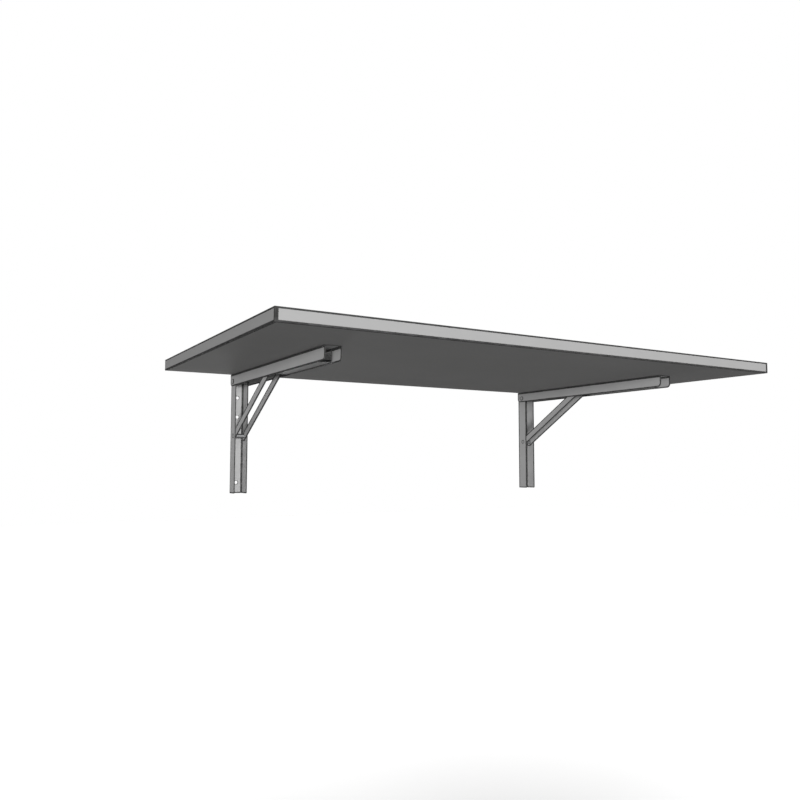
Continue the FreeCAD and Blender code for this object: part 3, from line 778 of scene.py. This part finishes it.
# %% Arm
low, high = centred_box("arm_left")
CORNER = 6 * MM
arm = folded(
    "arm", low, high,
    [(CORNER, lambda place, way: abs(way.x) > ALONG and near(place.z, low.z))],
    [(BEND, lambda place, way: abs(way.y) > ALONG and near(place.z, high.z))],
    lambda place, normal: normal.z < -0.01 or abs(normal.y) > 0.01, SHEET)
slide_low, slide_high = centred_box("slide_channel_left")
LIP = 1.1 * MM
LIP_REAR = -191 * MM
inside = high.x - SHEET
for side in (-1, 1):
    across = sorted((side * (inside - LIP), side * (inside + SHEET / 2)))
    carve(arm, block("lip", (across[0], slide_low.y, low.z), (across[1], LIP_REAR, low.z + SHEET)),
          how="UNION")
print("arm faces with its lips", len(arm.data.polygons))

# %% Arm holes
screws_low, screws_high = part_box("arm_screws_left")
SCREW_COUNT = 4
screw_radius = (screws_high.x - screws_low.x) / 2
first_screw = screws_high.y - screw_radius
pitch = (screws_high.y - screws_low.y - 2 * screw_radius) / (SCREW_COUNT - 1)
screw_places = [first_screw - index * pitch for index in range(SCREW_COUNT)]
SCREW_HOLE = 2.25 * MM
carve(arm, rod("drill", (0, arm_pivot.y, arm_pivot.z), PIVOT_HOLE, 3 * high.x))
carve(arm, *[rod("drill", (0, place, high.z), SCREW_HOLE, 4 * SHEET, (0, 0, 0))
             for place in screw_places])
latch_low, latch_high = centred_box("release_latch_left")
WINDOW_HALF, WINDOW_LONG, WINDOW_PLAY = 4.1 * MM, 4.5 * MM, 0.6 * MM
carve(arm, block("window", (-WINDOW_HALF, latch_high.y - WINDOW_LONG - WINDOW_PLAY, high.z - 2 * SHEET),
                 (WINDOW_HALF, latch_high.y + WINDOW_PLAY, high.z + SHEET)))
soften(arm, SOFT_EDGE)
copies(arm, both_sides("arm", "arm_sheet", "leaf"), powder_coat)

# %% [markdown]
# ### Slide
#
# The slide runs inside the arm on its lips, open side up. Its rear walls carry the strut's
# top pin, its floor ends short of them so that the bars can swing, and the front of the
# floor has a thumb notch under the latch. The second split lets the walls' lower edge step
# down to full height within one sheet thickness behind the floor.

# %% Slide
low, high = slide_low, slide_high
top_pin = centre_of("strut_top_pin_left")
latch_pin = centre_of("latch_pin_left")
LOW_ROUND, HIGH_ROUND = 4 * MM, 7 * MM
FLOOR_CLEAR = 24 * MM
floor_end = top_pin.y - FLOOR_CLEAR
slide = folded(
    "slide", low, high,
    [(LOW_ROUND, lambda place, way: abs(way.x) > ALONG and near(place.y, high.y) and near(place.z, low.z)),
     (HIGH_ROUND, lambda place, way: abs(way.x) > ALONG and near(place.y, high.y) and near(place.z, high.z))],
    [], lambda place, normal: abs(normal.x) < 0.5 and (normal.z > -FLAT or place.y > floor_end),
    SHEET, splits=(floor_end, floor_end + SHEET))
NOTCH = 6.5 * MM
LATCH_HOLE = 1.55 * MM
carve(slide,
      rod("thumb_notch", (0, low.y, low.z), NOTCH, 4 * SHEET, (0, 0, 0)),
      rod("drill", (0, top_pin.y, top_pin.z), PIVOT_HOLE, 3 * high.x),
      rod("drill", (0, latch_pin.y, latch_pin.z), LATCH_HOLE, 3 * high.x))
soften(slide, SOFT_EDGE)
copies(slide, both_sides("slide_channel", "slide", "slide_{}"), powder_coat)

# %% [markdown]
# ## Strut
#
# Two flat bars, blanked from 1.5 mm strip with fully rounded ends, run from the leg to the
# slide. A spacer tube keeps them apart at the foot. A bar is modelled lying down with its
# lower hole at the origin, and then turned to its slope about that hole. The bevels meet in
# the middle of each end, so their doubled points are merged before the inset.

# %% Strut bars
BAR_TAIL = 9 * MM
reach = top_pin - Vector((top_pin.x, strut_pivot.y, strut_pivot.z))
bar_length = reach.length
slope = math.atan2(reach.z, -reach.y)
half_thick = centred_box("strut_bar_left_outer")[1].x
HALF_WIDE = 6.15 * MM
bar = block("bar", (-half_thick, -bar_length - HALF_WIDE, -HALF_WIDE), (half_thick, BAR_TAIL, HALF_WIDE))
pick(bar, "EDGE", lambda place, way: abs(way.x) > ALONG)
bpy.ops.mesh.bevel(offset=HALF_WIDE - TINY, segments=14, affect="EDGES")
bpy.ops.mesh.select_all(action="SELECT")
bpy.ops.mesh.remove_doubles(threshold=5 * TINY)
pick(bar, "FACE", lambda place, normal: abs(normal.x) > FLAT)
mark_all_but(bar)
carve(bar, rod("drill", (0, 0, 0), PIVOT_HOLE, 9 * half_thick),
      rod("drill", (0, -bar_length, 0), PIVOT_HOLE, 9 * half_thick))
soften(bar, 0.22 * MM)
only(bar)
bar.rotation_euler.x = -slope
bar.location = (0, strut_pivot.y, strut_pivot.z)
settle("bar")
places = [(f"strut_bar_{side}_{hand}", f"flat_bar_{side}_{hand}", f"strut_{side}")
          for side in ("left", "right") for hand in ("outer", "inner")]
copies(bar, places, powder_coat)
print("slope", round(math.degrees(slope), 2), "degrees")

# %% Spacer and top pin
low, high = centred_box("strut_spacer_left")
outer, bore, chamfer = high.z - strut_pivot.z, PIVOT_HOLE, 0.3 * MM
spacer = turned("spacer", (0, strut_pivot.y, strut_pivot.z), [
    (low.x, bore + chamfer), (low.x, outer - chamfer), (low.x + chamfer, outer),
    (high.x - chamfer, outer), (high.x, outer - chamfer), (high.x, bore + chamfer),
    (high.x - chamfer, bore), (low.x + chamfer, bore)], hollow=True)
soften(spacer, 0.05 * MM, 1)
copies(spacer, both_sides("strut_spacer", "spacer_tube", "strut_{}"), zinc)


def plain_pin(node, name, body):
    """A turned pin with chamfered ends, along X."""
    low, high = centred_box(node + "_left")
    centre = (0, (low.y + high.y) / 2, (low.z + high.z) / 2)
    radius = (high.z - low.z) / 2
    pin = turned(name, centre, [(low.x, radius - chamfer), (low.x + chamfer, radius),
                                (high.x - chamfer, radius), (high.x, radius - chamfer)])
    soften(pin, 0.05 * MM, 1)
    copies(pin, both_sides(node, name, body), zinc)


plain_pin("strut_top_pin", "top_pin", "strut_{}")
plain_pin("latch_pin", "lever_pin", "slide_{}")

# %% [markdown]
# ## Rivets
#
# The arm's pivot is a rivet with a domed head on each side. The strut's pivot has flush
# heads, because the arm's plates pass over them when the table folds. Both are turned
# shapes: a list of stations along X is extruded and scaled from one circle. They are coated
# together with the sheet, and their rims are marked for painted shade, a dark ring round each head.

# %% Domed rivet
low, high = centred_box("arm_pivot_rivet_left")
arm_half = centred_box("arm_left")[1].x
head_radius = (high.z - low.z) / 2
seat = arm_half + 0.05 * MM
head_height = high.x - seat
SHANK = 2.5 * MM
DOME = [(1.0, 0.36), (0.98, 0.55), (0.88, 0.76), (0.66, 0.91), (0.34, 0.985), (0.1, 1.0), (0.0, 0.96)]
left_head = [(-seat - rise * head_height, share * head_radius) for rise, share in DOME]
right_head = [(-distance, radius) for distance, radius in reversed(left_head)]
rivet = turned("rivet", (0, arm_pivot.y, arm_pivot.z),
               left_head + [(-seat, SHANK), (seat, SHANK)] + right_head)
RIM_SHARE = 0.72


def mark_rim(piece, radius):
    """Mark the faces near a head's rim for painted shade. The rivet's axis is along X."""
    low, high = (Vector(corner) for corner in (piece.bound_box[0], piece.bound_box[6]))
    axis = ((low + high) / 2).yz
    mark(piece, [(face.center.yz - axis).length > RIM_SHARE * radius for face in piece.data.polygons])


mark_rim(rivet, head_radius)
only(rivet)
bpy.ops.object.shade_smooth_by_angle(angle=SMOOTH_BELOW)
copies(rivet, both_sides("arm_pivot_rivet", "domed_rivet", "root"), powder_coat)

# %% Flush rivet
low, high = centred_box("strut_pivot_rivet_left")
flush_radius = (high.z - low.z) / 2
EASE = 0.22 * MM
half = [(-high.x, flush_radius - 3 * EASE), (-high.x + 0.3 * EASE, flush_radius - EASE),
        (-high.x + EASE, flush_radius - 0.2 * EASE), (-high.x + SINK_DEPTH, SHANK)]
flush = turned("flush", (0, strut_pivot.y, strut_pivot.z),
               half + [(-distance, radius) for distance, radius in reversed(half)])
mark_rim(flush, flush_radius)
only(flush)
bpy.ops.object.shade_smooth_by_angle(angle=SMOOTH_BELOW)
copies(flush, both_sides("strut_pivot_rivet", "flush_rivet", "root"), powder_coat)

# %% [markdown]
# ## Release latch
#
# A sprung lever sits in the slide's front end. Its thick front is the thumb pad, with three
# grip lines, and its tooth stands up at the rear. The lever grows out of the rear beam by
# two extrusions: one slopes down to the pad's depth and one runs straight to the nose.

# %% Latch lever
low, high = latch_low, latch_high
BEAM_HALF = 2.6 * MM
throat = latch_pin.y - 2 * BEAM_HALF
SLOPE = 6 * MM
PAD_TOP = 95.2 * MM
beam_low, beam_high = latch_pin.z - BEAM_HALF, latch_pin.z + BEAM_HALF
lever = block("lever", (low.x, throat, beam_low), (high.x, high.y, beam_high))
nose = throat
for step, drop, top in ((SLOPE, beam_low - low.z, 0), (throat - SLOPE - low.y, 0, PAD_TOP - beam_high)):
    pick(lever, "FACE", lambda place, normal: normal.y < -ALONG)
    bpy.ops.mesh.extrude_region_move(TRANSFORM_OT_translate={"value": (0, -step, 0)})
    nose -= step
    pick(lever, "VERT", lambda place, normal: near(place.y, nose) and place.z < latch_pin.z)
    bpy.ops.transform.translate(value=(0, 0, -drop))
    pick(lever, "VERT", lambda place, normal: near(place.y, nose) and place.z > latch_pin.z)
    bpy.ops.transform.translate(value=(0, 0, top))
bpy.ops.object.mode_set(mode="OBJECT")
print("lever faces", len(lever.data.polygons))

# %% Latch tooth, bore and grip
TOOTH_HALF, TOOTH_LONG, TOOTH_LEAD = 3.5 * MM, 4.5 * MM, 1 * MM
tooth = block("tooth", (-TOOTH_HALF, high.y - TOOTH_LONG, latch_pin.z), (TOOTH_HALF, high.y, high.z))
pick(tooth, "EDGE", lambda place, way: abs(way.x) > ALONG and near(place.y, high.y) and near(place.z, high.z))
bpy.ops.mesh.bevel(offset=TOOTH_LEAD, segments=3, affect="EDGES")
only()
carve(lever, tooth, how="UNION")
carve(lever, rod("drill", (0, latch_pin.y, latch_pin.z), LATCH_HOLE, 3 * high.x))
GRIP_LINES, FIRST_LINE, LINE_PITCH, LINE_RADIUS = 3, 0.95 * MM, 2.2 * MM, 0.62 * MM
for index in range(GRIP_LINES):
    line = low.z + FIRST_LINE + LINE_PITCH * index
    carve(lever, rod("grip", (0, low.y - 0.1 * MM, line), LINE_RADIUS, 2 * high.x - 2 * MM, sides=16))
soften(lever, 0.25 * MM, 3)
copies(lever, both_sides("release_latch", "latch_lever", "latch_{}"), black_plastic)

# %% [markdown]
# ## Latch spring
#
# A compression spring stands between the slide's floor and the lever's tail. One circle,
# the wire's section, is swept up a helix by the Screw modifier.

# %% Spring
low, high = centred_box("latch_spring_left")
WIRE, MEAN_RADIUS, TURNS = 0.3 * MM, 2.2 * MM, 4
END_GAP = 0.02 * MM
SPRING_Y = latch_pin.y + 10 * MM
floor_z = slide_low.z + SHEET
room = beam_low - floor_z - 2 * WIRE - 2 * END_GAP
only()
bpy.ops.mesh.primitive_circle_add(vertices=14, radius=WIRE, fill_type="NOTHING",
                                  location=(MEAN_RADIUS, 0, 0), rotation=(math.pi / 2, 0, 0))
spring = settle("spring")
modify(spring, "SCREW", angle=2 * math.pi, screw_offset=room / TURNS, iterations=TURNS,
       steps=40, render_steps=40, axis="Z", use_merge_vertices=False)
pick(spring, "EDGE", lambda place, way: False)
bpy.ops.mesh.select_non_manifold()
bpy.ops.mesh.edge_face_add()
bpy.ops.mesh.select_all(action="SELECT")
bpy.ops.mesh.normals_make_consistent(inside=False)
only(spring)
spring.location = (0, SPRING_Y, floor_z + WIRE + END_GAP)
settle("spring")
bpy.ops.object.shade_smooth_by_angle(angle=SMOOTH_BELOW)
for side in ("left", "right"):
    only(spring)
    bpy.ops.object.duplicate(linked=False)
    piece = bpy.context.object
    piece.location.x = centre_of(f"latch_pin_{side}").x
    settle(f"coil_spring_{side}")
    hand_over(piece, f"latch_spring_{side}", f"slide_{side}", wire_steel)
    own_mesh(piece)
bpy.data.objects.remove(spring)

# %% [markdown]
# ## Screws
#
# Four pan head screws hold each arm to the board. The head is a turned shape with a cross
# recess cut into it, and the shank carries ring ridges in place of a thread. One screw is
# modelled upright and copied along the arm, and the four are joined, because the CAD has
# them as one node.

# %% One screw
head_low, head_high = screws_low.z, screws_high.z
under_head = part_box("arm_left")[1].z - SHEET
head_radius, shank = screw_radius, 2 * MM
RIDGE_PITCH, CORE = 1.4 * MM, 1.5 * MM
profile = [(head_low, 0.62 * head_radius), (head_low + 0.12 * MM, 0.78 * head_radius),
           (head_low + 0.5 * MM, 0.93 * head_radius), (head_low + 1.0 * MM, head_radius),
           (under_head, head_radius), (under_head, shank)]
height = under_head + 1.6 * MM
point = head_high - 3 * MM
while height + RIDGE_PITCH < point:
    profile += [(height, shank), (height + 0.5 * RIDGE_PITCH, CORE), (height + RIDGE_PITCH, shank)]
    height += RIDGE_PITCH
profile += [(point, CORE), (head_high, 0.15 * MM)]
screw = turned("screw", (0, 0, 0), profile, sides=28)
screw.rotation_euler.y = -math.pi / 2
only(screw)
settle("screw")
print("screw", [round(side / MM, 1) for side in screw.dimensions], "mm")

# %% Cross recess and the row of four
SLOT_HALF, SLOT_REACH, SLOT_DEEP = 0.45 * MM, 2 * MM, 1.1 * MM
for turn in (0, math.pi / 2):
    slot = block("slot", (-SLOT_REACH, -SLOT_HALF, head_low - SLOT_DEEP),
                 (SLOT_REACH, SLOT_HALF, head_low + SLOT_DEEP))
    pick(slot, "FACE", lambda place, normal: normal.z > ALONG)
    bpy.ops.transform.resize(value=(0.55, 0.7, 1), center_override=(0, 0, head_low + SLOT_DEEP))
    only(slot)
    slot.rotation_euler.z = turn
    settle("slot")
    carve(screw, slot)
soften(screw, 0.08 * MM, 1)
for side in ("left", "right"):
    row = []
    for place in screw_places:
        only(screw)
        bpy.ops.object.duplicate(linked=False)
        row.append(bpy.context.object)
        row[-1].location = (centre_of(f"arm_{side}").x, place, 0)
        settle("screw_copy")
    only(row[0])
    for other in row[1:]:
        other.select_set(True)
    bpy.ops.object.join()
    settle(f"pan_screws_{side}")
    hand_over(row[0], f"arm_screws_{side}", "leaf", zinc)
bpy.data.objects.remove(screw)

# %% [markdown]
# ## Floor and light
#
# The table hangs on a wall that isn't shown, 0.75 m above a pale floor. Soft lamps on all
# sides and above light the faces that look outwards. Light Path tells the kinds of ray
# apart. To the camera, floor and background are white, and the floor keeps the table's
# shadow. In reflections only the background is white. The light that both send back to the
# table is kept low, so the underside stays the darkest part.

# %% Floor
TABLE_HEIGHT, FLOOR_SIDE = 0.75, 14
only()
floor_height = cad_box[1].z - TABLE_HEIGHT
bpy.ops.mesh.primitive_plane_add(size=FLOOR_SIDE, location=(0, 0, floor_height))
floor = settle("pale_floor")
floor_paint = bpy.data.materials.new("pale_floor_paint")
floor_paint.use_nodes = True
tree = floor_paint.node_tree
shader = tree.nodes["Principled BSDF"]
shader.inputs["Roughness"].default_value = 0.9
shader.inputs["Specular IOR Level"].default_value = 0.0
seen = add_node(tree, "ShaderNodeLightPath").outputs["Is Camera Ray"]
FLOOR_SEEN, FLOOR_BOUNCE = grey(0.38), grey(0.02)
SEEN_GLOW, BOUNCE_GLOW = grey(0.7), grey(0.155)
tree.links.new(mix_colour(tree, seen, FLOOR_BOUNCE, FLOOR_SEEN), shader.inputs["Base Color"])
tree.links.new(mix_colour(tree, seen, BOUNCE_GLOW, SEEN_GLOW), shader.inputs["Emission Color"])
shader.inputs["Emission Strength"].default_value = 1.0
floor.data.materials.append(floor_paint)
print("floor at", round(floor_height, 3), "m")

# %% World
world = bpy.data.worlds.new("soft_studio")
scene.world = world
world.use_nodes = True
tree = world.node_tree
path = add_node(tree, "ShaderNodeLightPath").outputs
seen = math_node(tree, "MAXIMUM", path["Is Camera Ray"],
                 math_node(tree, "MAXIMUM", path["Is Glossy Ray"], path["Is Transmission Ray"]))
AMBIENT = 0.12
strength = add_node(tree, "ShaderNodeMix", {0: seen, 2: AMBIENT, 3: 1.0}).outputs[0]
background = tree.nodes["Background"]
background.inputs["Color"].default_value = (1, 1, 1, 1)
tree.links.new(strength, background.inputs["Strength"])
scene.view_settings.view_transform = "Standard"


# %% Softboxes round the table
LAMP_DISTANCE, LAMP_HEIGHT = 8, 0.1
table_middle = (cad_box[0] + cad_box[1]) / 2


def softbox(name, azimuth, level, size):
    """A square lamp round the table. Level 1 shows a surface that faces it as it is painted."""
    only()
    turn = math.radians(azimuth)
    place = Vector((-LAMP_DISTANCE * math.sin(turn), -LAMP_DISTANCE * math.cos(turn), LAMP_HEIGHT))
    aim = (table_middle - place).to_track_quat("-Z", "Y")
    bpy.ops.object.light_add(type="AREA", location=place, rotation=aim.to_euler())
    lamp = bpy.context.object
    lamp.name = name
    lamp.data.size = size
    lamp.data.energy = level * (math.pi * (table_middle - place).length) ** 2
    print(name, round(lamp.data.energy), "W")


softbox("front_softbox", 16, 0.78, 1.0)
softbox("fill_softbox", 42, 0.20, 1.2)
softbox("right_softbox", -95, 0.3, 1.2)
softbox("rear_softbox", -165, 0.45, 1.2)

# %% Overhead light
OVERHEAD_LEVEL = 0.72
only()
bpy.ops.object.light_add(type="SUN", rotation=(math.radians(6), 0, 0))
overhead = bpy.context.object
overhead.name = "overhead_light"
overhead.data.energy = OVERHEAD_LEVEL * math.pi
overhead.data.angle = math.radians(40)
print(overhead.name, round(overhead.data.energy, 2), "W/m2")
